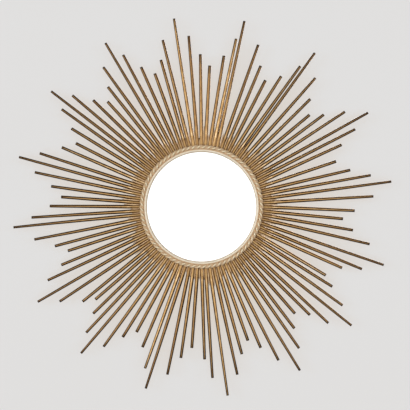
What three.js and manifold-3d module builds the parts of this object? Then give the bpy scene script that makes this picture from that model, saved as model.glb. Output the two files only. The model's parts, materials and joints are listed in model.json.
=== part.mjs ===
// Sunburst wall mirror: a round convex glass in a smooth bezel and a rope-twist ring, with tapered brass rays of
// four lengths all round it. Millimetres, +Z up. The mirror faces -Y and its back board rests on the wall at
// y = 0, centred on the origin. "Depth" is the distance from the wall, so a depth of d lies at y = -d, and
// angles run anticlockwise from +X as seen from the front.

import * as THREE from 'three';
import { mergeVertices } from 'three/addons/utils/BufferGeometryUtils.js';
import Module from 'manifold-3d';

const manifoldLibrary = await Module();
manifoldLibrary.setup();

// ---- Driving dimensions -------------------------------------------------------------------------------------

const SEAT_GAP = 0.3;               // between two pieces that bear on each other
const SLIDE_GAP = 0.4;              // round the glass and its packing, inside the band

const RUN_COUNT = 16;               // runs of rays, each from one long ray to the next
const FIRST_RAY_ANGLE = 7.5;        // degrees
const LONG_REACH = 350;             // centre of the mirror to the tip of a ray
const MIDDLE_REACH = 315;
const SHORT_REACH = 280.5;
const SHORTEST_REACH = 260;
const ROD_ROOT_DIAMETER = 6.6;      // beside the band, where the rods stand side by side
const ROD_DIAMETER = 7;             // at the widest place
const ROD_WIDEST_FROM_ROOT = 30;
const ROD_TIP_DIAMETER = 4.4;       // of a long ray; the shorter ones end sooner on the same taper
const ROD_SIDE_GAP = 0.3;           // least gap between two rods at their roots
const RAY_STANDOFF = 18.5;          // depth of the rods' axes
const BRAZE_LENGTH = 2.4;           // of the braze between the roots of a trio, along the rays
const BRAZE_HEIGHT = 2.6;
const BRAZE_SETBACK = 0.8;          // from the root ends to the braze

const SIGHT_RADIUS = 101.2;         // glass that shows inside the bezel
const GLASS_REBATE = 2;             // glass hidden behind the bezel
const GLASS_THICKNESS = 3;
const GLASS_RISE = 10;              // of the convex face over the sight circle
const PACKING_WIDTH = 6;
const PACKING_THICKNESS = 3;
const CARD_THICKNESS = 2.5;

const BAND_WALL = 1.8;
const BAND_OVERHANG = 2.5;          // of the band in front of the rays
const BEZEL_HEIGHT = 4.2;
const BEZEL_EDGE = 1.2;             // flat sides of the bezel, behind its round

const ROPE_RADIUS = 4.1;            // over the two strands
const ROPE_WAIST = 1.7;             // half the thickness between the strands
const ROPE_TURNS = 36;
const ROPE_CLEARANCE = 0.4;         // between the rope ring and the bezel

const REAR_RING_WIDTH = 14;
const REAR_RING_THICKNESS = 3;

const BACK_BOARD_THICKNESS = 3;
const LUG_COUNT = 4;
const LUG_WIDTH = 14;
const LUG_LENGTH = 12;              // from the band inwards
const SCREW_DIAMETER = 4;
const SCREW_HEAD_DIAMETER = 8;
const SCREW_LENGTH = 10;
const SCREW_SLOT_WIDTH = 1;
const SCREW_SLOT_DEPTH = 0.9;

const STRAP_THICKNESS = 1.4;
const STRAP_FOOT_WIDTH = 40;
const STRAP_FOOT_HEIGHT = 10;
const STRAP_TONGUE_WIDTH = 14;
const EYE_RISE = 4.3;               // of the eye's axis above the rear ring
const EYE_WALL = 1.3;
const EYE_SETBACK = 2.9;            // of the eye's axis behind the strap
const EYE_CLEARANCE = 0.4;
const RIVET_DIAMETER = 3;
const RIVET_HEAD_DIAMETER = 5.6;
const RIVET_HEAD_HEIGHT = 1.2;
const RIVET_SPACING = 30;
const LOOP_WIRE_DIAMETER = 3;
const LOOP_DROP = 13.5;             // bar to the lowest point of the bow, at the wire's middle
const LOOP_CORNER_RADIUS = 3;
const LOOP_SIDE_GAP = 0.6;          // between the eye's ends and the sides of the loop

// Leans in degrees, anticlockwise: the rays are soft enough to be pushed aside by hand. Each run has its own
// lean, and some single rays lean further.
const RUN_LEANS = [0, -0.5, -0.5, 0.5, 1, 0.5, -0.5, -0.25, -0.5, 0, -1.25, -0.25, 0.25, 0, -1.5, -1.25];
const RAY_LEANS = new Map([
  [1, -0.5], [2, -1], [4, 1.5], [5, 0.5], [7, 0.5], [9, -0.5], [12, 1.5], [13, -0.75], [14, -0.75],
  [18, 1.75], [19, -0.75], [20, -1.25], [25, 1], [26, -0.5], [27, -0.5], [31, 1], [36, 0.5], [37, -0.5],
  [38, -0.5], [41, 1], [48, -1], [49, 0.5], [50, 0.5], [52, 0.5], [56, 1], [58, -0.5], [59, -1.25],
  [60, -0.75], [64, 0.75], [65, 0.75], [66, -1.75], [70, 1.25], [73, 0.5], [78, 1], [79, 1], [83, -1.25],
  [84, 0.5], [85, 0.5], [87, -1], [88, 0.5], [89, -1], [90, -1.5], [95, 1],
]);

// ---- Derived sizes ------------------------------------------------------------------------------------------

const REACH_PATTERN = [LONG_REACH, MIDDLE_REACH, SHORT_REACH, SHORTEST_REACH, SHORT_REACH, MIDDLE_REACH];
const rayCount = RUN_COUNT * REACH_PATTERN.length;
const rayPitch = 360 / rayCount;
const rodRadius = ROD_DIAMETER / 2;

const glassRadius = SIGHT_RADIUS + GLASS_REBATE;
const bandInnerRadius = glassRadius + SLIDE_GAP;
const bandOuterRadius = bandInnerRadius + BAND_WALL;
const sideBySideRadius = (rayCount * (ROD_ROOT_DIAMETER + ROD_SIDE_GAP)) / (2 * Math.PI);
const rootRadius = Math.max(bandOuterRadius + SEAT_GAP, sideBySideRadius);
const ropeCircleRadius = Math.max(bandOuterRadius, rootRadius - SEAT_GAP) + ROPE_CLEARANCE + ROPE_RADIUS;

const rodFront = RAY_STANDOFF + rodRadius;
const bandRear = BACK_BOARD_THICKNESS + SEAT_GAP;
const bandFront = rodFront + BAND_OVERHANG;
const bezelRear = bandFront + SEAT_GAP;
const ropeDepth = rodFront + SEAT_GAP + ROPE_RADIUS;

const rearRingFront = RAY_STANDOFF - rodRadius - SEAT_GAP;
const rearRingRear = rearRingFront - REAR_RING_THICKNESS;
const rearRingInnerRadius = bandOuterRadius + SEAT_GAP;
const rearRingOuterRadius = rootRadius + REAR_RING_WIDTH;

const glassCurveRadius = (SIGHT_RADIUS ** 2 + GLASS_RISE ** 2) / (2 * GLASS_RISE);
const glassFaceAtSight = bezelRear - SEAT_GAP;
const packingFront = glassFaceDepth(glassRadius) - GLASS_THICKNESS - SEAT_GAP;
const packingRear = packingFront - PACKING_THICKNESS;
const cardFront = packingRear - SEAT_GAP;
const cardRear = cardFront - CARD_THICKNESS;
const lugFront = cardRear - SEAT_GAP;
const lugOuterRadius = bandInnerRadius - SEAT_GAP;
const screwCircleRadius = lugOuterRadius - LUG_LENGTH / 2;

const strapFront = rearRingRear - SEAT_GAP;
const strapRear = strapFront - STRAP_THICKNESS;
const strapFootMiddle = (rearRingInnerRadius + rearRingOuterRadius) / 2;
const eyeInnerRadius = LOOP_WIRE_DIAMETER / 2 + EYE_CLEARANCE;
const eyeOuterRadius = eyeInnerRadius + EYE_WALL;
const eyeHeight = rearRingOuterRadius + EYE_RISE;
const eyeDepth = strapRear - EYE_SETBACK;

// Facets: all turned pieces share one count, so that their flats line up and keep their gaps.
const TURNED_SEGMENTS = 72;
const SMALL_SEGMENTS = 12;
const ROD_SIDES = 8;
const GLASS_RINGS = 5;
const ROPE_STEPS_PER_TURN = 8;
const WIRE_SIDES = 8;
const ARC_STEPS = 3;
const CUT_OVERRUN = 1;              // by which a cutting tool runs past the face that it cuts

// ---- Finishes -----------------------------------------------------------------------------------------------

function finish(color, roughness, metalness) {
  return new THREE.MeshStandardMaterial({ color, roughness, metalness });
}

const rayBrass = finish(0x8a6a44, 0.38, 0.9);
const ropeBrass = finish(0xd2ad78, 0.3, 0.9);
const bezelBrass = finish(0xe2cfae, 0.25, 0.9);
const plainBrass = finish(0x80643e, 0.45, 0.9);
const mirrorGlass = finish(0xf2f4f5, 0.03, 1);
const packingFelt = finish(0x6d6a62, 0.95, 0);
const greyCard = finish(0x8b7c66, 0.9, 0);
const brownBoard = finish(0x5a4330, 0.85, 0);
const screwSteel = finish(0xa7a8a9, 0.35, 1);
const hangerSteel = finish(0xa68852, 0.4, 0.9);

// ---- Geometry helpers ---------------------------------------------------------------------------------------

function radians(degrees) {
  return THREE.MathUtils.degToRad(degrees);
}

/** Point at a distance from the mirror's axis, at an angle in degrees and a depth from the wall. */
function polar(radius, angle, depth) {
  return new THREE.Vector3(radius * Math.cos(radians(angle)), -depth, radius * Math.sin(radians(angle)));
}

/** Depth of the convex face of the glass at a distance from its axis. */
function glassFaceDepth(radius) {
  const heightAt = (distance) => Math.sqrt(glassCurveRadius ** 2 - distance ** 2);
  return glassFaceAtSight + heightAt(radius) - heightAt(SIGHT_RADIUS);
}

function signedVolume(position, index) {
  const [a, b, c] = [new THREE.Vector3(), new THREE.Vector3(), new THREE.Vector3()];
  let volume = 0;
  for (let corner = 0; corner < index.length; corner += 3) {
    a.fromBufferAttribute(position, index[corner]);
    b.fromBufferAttribute(position, index[corner + 1]);
    c.fromBufferAttribute(position, index[corner + 2]);
    volume += a.dot(b.cross(c)) / 6;
  }
  return volume;
}

/** Welds a closed surface, drops its flat triangles and turns its faces outwards. */
function welded(geometry) {
  const bare = geometry.clone();
  bare.deleteAttribute('normal');
  bare.deleteAttribute('uv');
  const merged = mergeVertices(bare);
  const source = merged.getIndex().array;
  const index = [];
  for (let corner = 0; corner < source.length; corner += 3) {
    const [a, b, c] = source.slice(corner, corner + 3);
    if (a !== b && b !== c && c !== a) {
      index.push(a, b, c);
    }
  }
  if (signedVolume(merged.getAttribute('position'), index) < 0) {
    index.reverse();
  }
  merged.setIndex(index);
  return merged;
}

/** Solid that can be joined and cut, from a closed surface. */
function solidOf(geometry) {
  const closed = welded(geometry);
  return new manifoldLibrary.Manifold(
    new manifoldLibrary.Mesh({
      numProp: 3,
      vertProperties: new Float32Array(closed.getAttribute('position').array),
      triVerts: new Uint32Array(closed.getIndex().array),
    }),
  );
}

function surfaceOf(solid) {
  const mesh = solid.getMesh();
  const geometry = new THREE.BufferGeometry();
  geometry.setAttribute('position', new THREE.BufferAttribute(new Float32Array(mesh.vertProperties), 3));
  geometry.setIndex(Array.from(mesh.triVerts));
  return geometry;
}

/** Body turned about the mirror's axis from [radius, depth] points, closed or from axis to axis. */
function turned(profile, segments = TURNED_SEGMENTS) {
  return welded(new THREE.LatheGeometry(
    profile.map(([radius, depth]) => new THREE.Vector2(radius, -depth)),
    segments,
  ));
}

/** Flat ring or, with an inner radius of 0, a disc between two depths. */
function flatRing(innerRadius, outerRadius, rear, front) {
  const corners = [[innerRadius, rear], [outerRadius, rear], [outerRadius, front], [innerRadius, front]];
  return turned(innerRadius > 0 ? [...corners, corners[0]] : corners);
}

/** Round body between two points, from its radius at the start, at distances in between and at the end. */
function spindle(start, end, startRadius, between, endRadius, sides) {
  const along = end.clone().sub(start);
  const length = along.length();
  const profile = [
    [0, 0],
    [startRadius, 0],
    ...between.map(([distance, radius]) => [radius, -distance]),
    [endRadius, -length],
    [0, -length],
  ];
  const geometry = turned(profile, sides);
  geometry.applyQuaternion(new THREE.Quaternion().setFromUnitVectors(
    new THREE.Vector3(0, 1, 0),
    along.divideScalar(length),
  ));
  return geometry.translate(start.x, start.y, start.z);
}

/** Round bar between two points. */
function bar(start, end, radius, sides) {
  return spindle(start, end, radius, [], radius, sides);
}

/** Block from its size and centre. */
function block(width, depth, height, x, y, z) {
  return new THREE.BoxGeometry(width, depth, height).translate(x, y, z);
}

/**
 * Closed tube round a flat loop that faces the front. stationAt gives, for each step, the middle of the section
 * and its outward direction, and sectionAt the section's corners as [outward, forward] pairs.
 */
function loopTube(steps, stationAt, sectionAt) {
  const positions = [];
  const index = [];
  const corners = sectionAt(0).length;
  for (let step = 0; step < steps; step += 1) {
    const { middle, outward } = stationAt(step);
    for (const [out, forward] of sectionAt(step)) {
      positions.push(middle.x + outward.x * out, middle.y - forward, middle.z + outward.z * out);
    }
    for (let corner = 0; corner < corners; corner += 1) {
      const here = step * corners + corner;
      const beside = step * corners + ((corner + 1) % corners);
      const ahead = ((step + 1) % steps) * corners + corner;
      const aheadBeside = ((step + 1) % steps) * corners + ((corner + 1) % corners);
      index.push(here, beside, aheadBeside, here, aheadBeside, ahead);
    }
  }
  const geometry = new THREE.BufferGeometry();
  geometry.setAttribute('position', new THREE.Float32BufferAttribute(positions, 3));
  geometry.setIndex(index);
  return welded(geometry);
}

// ---- Rays ---------------------------------------------------------------------------------------------------

function leanOf(ray) {
  const run = Math.floor(ray / REACH_PATTERN.length);
  return RUN_LEANS[run % RUN_LEANS.length] + (RAY_LEANS.get(ray) ?? 0);
}

function rayAngle(ray) {
  return FIRST_RAY_ANGLE + ray * rayPitch;
}

/** Radius of the tapered bar at a distance from its root, beyond its widest place. */
function taperedRadius(distance) {
  const taperLength = LONG_REACH - rootRadius - ROD_WIDEST_FROM_ROOT;
  const share = (distance - ROD_WIDEST_FROM_ROOT) / taperLength;
  return rodRadius + share * (ROD_TIP_DIAMETER / 2 - rodRadius);
}

/** One rod, from its root beside the band to its tip, which its lean carries round. */
function rod(ray) {
  const reach = REACH_PATTERN[ray % REACH_PATTERN.length];
  const root = polar(rootRadius, rayAngle(ray), RAY_STANDOFF);
  const tip = polar(reach, rayAngle(ray) + leanOf(ray), RAY_STANDOFF);
  const widest = [ROD_WIDEST_FROM_ROOT, rodRadius];
  return solidOf(spindle(
    root,
    tip,
    ROD_ROOT_DIAMETER / 2,
    [widest],
    taperedRadius(reach - rootRadius),
    ROD_SIDES,
  ));
}

/** Three neighbouring rods, brazed to each other at their roots. */
function rayTrio(middleRay) {
  const rays = [middleRay - 1, middleRay, middleRay + 1].map((ray) => (ray + rayCount) % rayCount);
  const brazeRadius = rootRadius + BRAZE_SETBACK + BRAZE_LENGTH / 2;
  const brazeSpan = 2 * brazeRadius * Math.sin(radians(rayPitch));
  const middle = polar(brazeRadius, rayAngle(middleRay), RAY_STANDOFF);
  const braze = block(BRAZE_LENGTH, BRAZE_HEIGHT, brazeSpan, 0, 0, 0);
  braze.rotateY(-radians(rayAngle(middleRay)));
  braze.translate(middle.x, middle.y, middle.z);
  return surfaceOf(rays.reduce((joined, ray) => joined.add(rod(ray)), solidOf(braze)));
}

// ---- Rings and glass ----------------------------------------------------------------------------------------

/** Twisted two-strand section: two round lobes with a waist between them. */
function ropeSection(step) {
  const twist = (step / ROPE_STEPS_PER_TURN) * 360;
  return [0, 40, 90, 140, 180, 220, 270, 320].map((angle) => {
    const reach = ROPE_WAIST + (ROPE_RADIUS - ROPE_WAIST) * Math.abs(Math.cos(radians(angle)));
    return [reach * Math.cos(radians(angle + twist)), reach * Math.sin(radians(angle + twist))];
  });
}

function ropeRing() {
  const steps = ROPE_TURNS * ROPE_STEPS_PER_TURN;
  const stationAt = (step) => ({
    middle: polar(ropeCircleRadius, (step / steps) * 360, ropeDepth),
    outward: polar(1, (step / steps) * 360, 0),
  });
  return loopTube(steps, stationAt, ropeSection);
}

/** Smooth ring in front of the glass edge, half round in section. */
function bezelRing() {
  const crown = BEZEL_HEIGHT - BEZEL_EDGE;
  const halfWidth = (bandOuterRadius - SIGHT_RADIUS) / 2;
  const profile = [[bandOuterRadius, bezelRear]];
  for (let step = 0; step <= 2 * ARC_STEPS; step += 1) {
    const angle = (step / (2 * ARC_STEPS)) * Math.PI;
    profile.push([
      SIGHT_RADIUS + halfWidth + halfWidth * Math.cos(angle),
      bezelRear + BEZEL_EDGE + crown * Math.sin(angle),
    ]);
  }
  profile.push([SIGHT_RADIUS, bezelRear], profile[0]);
  return turned(profile);
}

/** Convex glass of even thickness. */
function convexGlass() {
  const radii = Array.from({ length: GLASS_RINGS + 1 }, (_, ring) => (ring / GLASS_RINGS) * glassRadius);
  const face = radii.map((radius) => [radius, glassFaceDepth(radius)]);
  const back = radii.map((radius) => [radius, glassFaceDepth(radius) - GLASS_THICKNESS]);
  return turned([...face, ...back.reverse()]);
}

// ---- Back board, lugs and screws ----------------------------------------------------------------------------

function lugAngle(lug) {
  return ((lug + 0.5) / LUG_COUNT) * 360;
}

/** Countersunk screw at a lug, larger all round by a clearance where it serves as the tool for its own hole. */
function screwBody(lug, clearance) {
  const headRadius = SCREW_HEAD_DIAMETER / 2 + clearance;
  const shankRadius = SCREW_DIAMETER / 2 + clearance;
  const headRear = clearance > 0 ? -CUT_OVERRUN : SEAT_GAP;
  const coneStart = SEAT_GAP;
  const coneEnd = coneStart + (SCREW_HEAD_DIAMETER - SCREW_DIAMETER) / 2;
  const geometry = turned(
    [
      [0, headRear],
      ...(clearance > 0 ? [[headRadius, headRear]] : []),
      [headRadius, coneStart],
      [shankRadius, coneEnd],
      [shankRadius, SCREW_LENGTH + clearance],
      [0, SCREW_LENGTH + clearance],
    ],
    SMALL_SEGMENTS,
  );
  const middle = polar(screwCircleRadius, lugAngle(lug), 0);
  return solidOf(geometry.translate(middle.x, 0, middle.z));
}

function backScrew(lug) {
  const middle = polar(screwCircleRadius, lugAngle(lug), 0);
  const slotMiddle = SEAT_GAP + SCREW_SLOT_DEPTH / 2 - CUT_OVERRUN / 2;
  const slot = block(
    SCREW_SLOT_WIDTH,
    SCREW_SLOT_DEPTH + CUT_OVERRUN,
    SCREW_HEAD_DIAMETER + CUT_OVERRUN,
    middle.x,
    -slotMiddle,
    middle.z,
  );
  return surfaceOf(screwBody(lug, 0).subtract(solidOf(slot)));
}

function backBoard() {
  let board = solidOf(flatRing(0, bandOuterRadius, 0, BACK_BOARD_THICKNESS));
  for (let lug = 0; lug < LUG_COUNT; lug += 1) {
    board = board.subtract(screwBody(lug, SEAT_GAP));
  }
  return surfaceOf(board);
}

/** Block inside the band, rounded to it, which takes a screw and stops the card from falling back. */
function bandLug(lug) {
  const height = lugFront - bandRear;
  const middle = polar(lugOuterRadius - LUG_LENGTH / 2, lugAngle(lug), (lugFront + bandRear) / 2);
  const blank = block(LUG_LENGTH, height, LUG_WIDTH, 0, 0, 0);
  blank.rotateY(-radians(lugAngle(lug)));
  blank.translate(middle.x, middle.y, middle.z);
  const insideBand = solidOf(flatRing(0, lugOuterRadius, 0, lugFront + CUT_OVERRUN));
  return surfaceOf(solidOf(blank).intersect(insideBand).subtract(screwBody(lug, SEAT_GAP)));
}

// ---- Hanger -------------------------------------------------------------------------------------------------

/** Rivet from behind the strap to the front of the rear ring, or with a clearance the tool for its holes. */
function rivetShank(side, clearance) {
  const x = (side * RIVET_SPACING) / 2;
  const rear = strapRear - (clearance > 0 ? CUT_OVERRUN : 0);
  const front = rearRingFront + (clearance > 0 ? CUT_OVERRUN : 0);
  return solidOf(bar(
    new THREE.Vector3(x, -rear, strapFootMiddle),
    new THREE.Vector3(x, -front, strapFootMiddle),
    RIVET_DIAMETER / 2 + clearance,
    SMALL_SEGMENTS,
  ));
}

function hangerRivet(side) {
  const headRear = strapRear - SEAT_GAP - RIVET_HEAD_HEIGHT;
  const head = turned(
    [
      [0, headRear],
      [RIVET_HEAD_DIAMETER / 4, headRear],
      [RIVET_HEAD_DIAMETER / 2, headRear + RIVET_HEAD_HEIGHT / 2],
      [RIVET_HEAD_DIAMETER / 2, strapRear - SEAT_GAP],
      [0, strapRear - SEAT_GAP],
    ],
    SMALL_SEGMENTS,
  ).translate((side * RIVET_SPACING) / 2, 0, strapFootMiddle);
  const neck = bar(
    new THREE.Vector3((side * RIVET_SPACING) / 2, -(headRear + RIVET_HEAD_HEIGHT / 2), strapFootMiddle),
    new THREE.Vector3((side * RIVET_SPACING) / 2, -(strapRear + STRAP_THICKNESS / 2), strapFootMiddle),
    RIVET_DIAMETER / 2,
    SMALL_SEGMENTS,
  );
  return surfaceOf(solidOf(head).add(solidOf(neck)).add(rivetShank(side, 0)));
}

/** Strap with a foot on the rear ring and a tongue rolled into an eye above it. */
function hangerStrap() {
  const strapDepth = (strapRear + strapFront) / 2;
  const foot = block(
    STRAP_FOOT_WIDTH,
    STRAP_THICKNESS,
    STRAP_FOOT_HEIGHT,
    0,
    -strapDepth,
    strapFootMiddle,
  );
  const tongue = block(
    STRAP_TONGUE_WIDTH,
    STRAP_THICKNESS,
    eyeHeight - strapFootMiddle,
    0,
    -strapDepth,
    (eyeHeight + strapFootMiddle) / 2,
  );
  const eyeBar = (radius, halfLength) => solidOf(bar(
    new THREE.Vector3(-halfLength, -eyeDepth, eyeHeight),
    new THREE.Vector3(halfLength, -eyeDepth, eyeHeight),
    radius,
    SMALL_SEGMENTS,
  ));
  const rolled = solidOf(foot).add(solidOf(tongue)).add(eyeBar(eyeOuterRadius, STRAP_TONGUE_WIDTH / 2));
  return surfaceOf(
    rolled
      .subtract(eyeBar(eyeInnerRadius, STRAP_TONGUE_WIDTH / 2 + CUT_OVERRUN))
      .subtract(rivetShank(-1, SEAT_GAP))
      .subtract(rivetShank(1, SEAT_GAP)),
  );
}

function rearRing() {
  return surfaceOf(
    solidOf(flatRing(rearRingInnerRadius, rearRingOuterRadius, rearRingRear, rearRingFront))
      .subtract(rivetShank(-1, SEAT_GAP))
      .subtract(rivetShank(1, SEAT_GAP)),
  );
}

/** Loop of wire with a straight bar in the eye and a round bow that hangs from it. */
function hangingLoop() {
  const wireRadius = LOOP_WIRE_DIAMETER / 2;
  const halfWidth = STRAP_TONGUE_WIDTH / 2 + LOOP_SIDE_GAP + wireRadius;
  const bowHeight = LOOP_DROP - halfWidth;
  const outline = new THREE.Path();
  outline.moveTo(-halfWidth + LOOP_CORNER_RADIUS, 0);
  outline.lineTo(halfWidth - LOOP_CORNER_RADIUS, 0);
  outline.absarc(halfWidth - LOOP_CORNER_RADIUS, -LOOP_CORNER_RADIUS, LOOP_CORNER_RADIUS, Math.PI / 2, 0, true);
  outline.absarc(0, -bowHeight, halfWidth, 0, -Math.PI, true);
  outline.absarc(
    -halfWidth + LOOP_CORNER_RADIUS,
    -LOOP_CORNER_RADIUS,
    LOOP_CORNER_RADIUS,
    Math.PI,
    Math.PI / 2,
    true,
  );
  const points = outline.getPoints(ARC_STEPS).filter(
    (point, place, all) => point.distanceTo(all[(place + 1) % all.length]) > SEAT_GAP,
  );
  const section = Array.from({ length: WIRE_SIDES }, (_, side) => {
    const angle = ((side + 0.5) / WIRE_SIDES) * 2 * Math.PI;
    return [wireRadius * Math.cos(angle), wireRadius * Math.sin(angle)];
  });
  const stationAt = (step) => {
    const here = points[step];
    const before = here.clone().sub(points[(step + points.length - 1) % points.length]).normalize();
    const after = points[(step + 1) % points.length].clone().sub(here).normalize();
    const outward = new THREE.Vector2(-before.y - after.y, before.x + after.x).normalize();
    outward.divideScalar(outward.dot(new THREE.Vector2(-before.y, before.x)));
    return {
      middle: new THREE.Vector3(here.x, -eyeDepth, eyeHeight + here.y),
      outward: new THREE.Vector3(outward.x, 0, outward.y),
    };
  };
  return loopTube(points.length, stationAt, () => section);
}

// ---- Assembly -----------------------------------------------------------------------------------------------

const mirror = new THREE.Group();

function addPiece(parent, name, geometry, material) {
  const mesh = new THREE.Mesh(geometry, material);
  mesh.name = name;
  parent.add(mesh);
}

function numbered(name, place) {
  return `${name}_${String(place + 1).padStart(2, '0')}`;
}

const rays = new THREE.Group();
for (let run = 0; run < RUN_COUNT; run += 1) {
  const longRay = run * REACH_PATTERN.length;
  const shortestRay = longRay + REACH_PATTERN.length / 2;
  addPiece(rays, numbered('long_ray_trio', run), rayTrio(longRay), rayBrass);
  addPiece(rays, numbered('short_ray_trio', run), rayTrio(shortestRay), rayBrass);
}
mirror.add(rays);

const rim = new THREE.Group();
addPiece(rim, 'rim_band', flatRing(bandInnerRadius, bandOuterRadius, bandRear, bandFront), plainBrass);
addPiece(rim, 'rear_ring', rearRing(), plainBrass);
addPiece(rim, 'rope_ring', ropeRing(), ropeBrass);
addPiece(rim, 'bezel_ring', bezelRing(), bezelBrass);
mirror.add(rim);

const glazing = new THREE.Group();
addPiece(glazing, 'mirror_glass', convexGlass(), mirrorGlass);
addPiece(
  glazing,
  'packing_ring',
  flatRing(glassRadius - PACKING_WIDTH, glassRadius, packingRear, packingFront),
  packingFelt,
);
addPiece(glazing, 'backing_card', flatRing(0, glassRadius, cardRear, cardFront), greyCard);
mirror.add(glazing);

const back = new THREE.Group();
addPiece(back, 'back_board', backBoard(), brownBoard);
for (let lug = 0; lug < LUG_COUNT; lug += 1) {
  addPiece(back, numbered('band_lug', lug), bandLug(lug), plainBrass);
  addPiece(back, numbered('back_screw', lug), backScrew(lug), screwSteel);
}
mirror.add(back);

const hanger = new THREE.Group();
addPiece(hanger, 'hanger_strap', hangerStrap(), hangerSteel);
addPiece(hanger, 'hanger_rivet_left', hangerRivet(-1), hangerSteel);
addPiece(hanger, 'hanger_rivet_right', hangerRivet(1), hangerSteel);
addPiece(hanger, 'hanging_loop', hangingLoop(), hangerSteel);
mirror.add(hanger);

export default mirror;
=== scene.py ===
"""Sunburst wall mirror: the looks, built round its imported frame.

A round convex glass sits in a smooth gilt bezel and a ring of twisted wire, with ninety-six straight gilt
rods of four lengths all round it. The mirror hangs on a wall at y = 0 and faces -Y, with +Z up. Everything
is in metres.
"""

import json
import logging
import math
import random
from collections.abc import Callable, Iterator, Sequence
from contextlib import contextmanager
from dataclasses import dataclass, field
from enum import Enum

import bmesh
import bpy
from mathutils import Matrix, Vector


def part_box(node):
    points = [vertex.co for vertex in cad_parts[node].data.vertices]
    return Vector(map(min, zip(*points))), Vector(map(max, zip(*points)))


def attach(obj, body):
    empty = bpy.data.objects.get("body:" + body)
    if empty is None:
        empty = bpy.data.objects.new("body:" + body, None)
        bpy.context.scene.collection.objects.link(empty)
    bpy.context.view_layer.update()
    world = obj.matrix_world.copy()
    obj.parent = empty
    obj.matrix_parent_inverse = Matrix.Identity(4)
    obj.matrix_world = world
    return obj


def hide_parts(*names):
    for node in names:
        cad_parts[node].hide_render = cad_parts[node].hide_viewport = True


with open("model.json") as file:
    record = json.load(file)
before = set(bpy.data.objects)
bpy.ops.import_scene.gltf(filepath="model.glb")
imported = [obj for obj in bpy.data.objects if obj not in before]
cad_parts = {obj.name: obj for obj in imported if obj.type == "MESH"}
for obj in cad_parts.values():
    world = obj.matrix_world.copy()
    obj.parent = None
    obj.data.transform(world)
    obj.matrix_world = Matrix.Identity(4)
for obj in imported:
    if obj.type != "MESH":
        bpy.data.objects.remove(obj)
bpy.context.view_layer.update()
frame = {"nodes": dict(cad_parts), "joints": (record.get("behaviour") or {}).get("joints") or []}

LOG = logging.getLogger("sunburst_mirror")

MILLIMETRE = 0.001
FULL_TURN = 2 * math.pi
RANGE_INPUTS = ("From Min", "From Max", "To Min", "To Max")
MIDDLE_OF_CLOUDS = (0.3, 0.7)
Colour = tuple[float, float, float]
Point = tuple[float, float]
Place = tuple[float, float, float]
Size = tuple[float, float, float]
Socket = bpy.types.NodeSocket


class Body(Enum):
    """The two bodies that move by themselves."""

    MIRROR = "mirror"
    LOOP = "loop"


class Slot(Enum):
    """Material slots of the record, passed along with each modelled piece."""

    RAY = "ray_brass"
    ROPE = "rope_brass"
    BEZEL = "bezel_brass"
    RIM = "rim_brass"
    GLASS = "mirror_glass"
    BOARD = "brown_board"
    STEEL = "screw_steel"
    HANGER = "hanger_brass"


# ---- Node sheets: small helpers that wire a material ---------------------------------------------


@dataclass(frozen=True)
class Cloud:
    """A cloud pattern: clouds to the metre, octaves of finer clouds, their strength, and a stretch."""

    scale: float
    detail: float
    roughness: float
    stretch: Size = (1.0, 1.0, 1.0)


@dataclass(frozen=True)
class Relief:
    """How much of a relief shows, and its height in metres."""

    share: float
    height: float


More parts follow.
